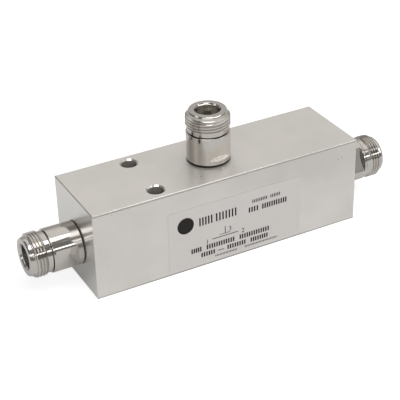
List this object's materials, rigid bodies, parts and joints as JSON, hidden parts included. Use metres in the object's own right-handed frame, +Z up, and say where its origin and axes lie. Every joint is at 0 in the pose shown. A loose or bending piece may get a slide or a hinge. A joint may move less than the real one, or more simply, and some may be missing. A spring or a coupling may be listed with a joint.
{
  "type": "rf power tapper",
  "caption": "Coaxial power tapper: a bored rectangular metal bar with threaded female jacks on its ends and top, mounting holes and a label.",
  "frame": {"origin": "centre of the bar's flat base, midway between the two end jacks", "axes": "+X runs along the coaxial line from the input jack to the through jack, -Y is the label face, +Z points up out of the tap jack"},
  "size_m": [0.143, 0.0319, 0.0523],
  "materials": {
    "bar_metal": "satin, passivated",
    "jack_plating": "bright nickel plate on brass",
    "ring_rubber": "matt",
    "bead_ptfe": "machined PTFE",
    "contact_gold": "gold plated",
    "line_silver": "silver plated, turned",
    "label_film": "thin semi-clear film"
  },
  "bodies": {
    "root": {"housing": "bar_metal", "input_shell": "jack_plating", "input_o_ring": "ring_rubber", "input_bead": "bead_ptfe", "input_bush": "jack_plating", "input_contact": "contact_gold", "through_shell": "jack_plating", "through_o_ring": "ring_rubber", "through_bead": "bead_ptfe", "through_bush": "jack_plating", "through_contact": "contact_gold", "tap_shell": "jack_plating", "tap_o_ring": "ring_rubber", "tap_bead": "bead_ptfe", "tap_bush": "jack_plating", "tap_contact": "contact_gold", "input_line": "line_silver", "through_line": "line_silver", "tap_line": "line_silver", "junction_hub": "line_silver", "input_support": "bead_ptfe", "through_support": "bead_ptfe", "rating_label": "label_film"}
  },
  "joints": []
}
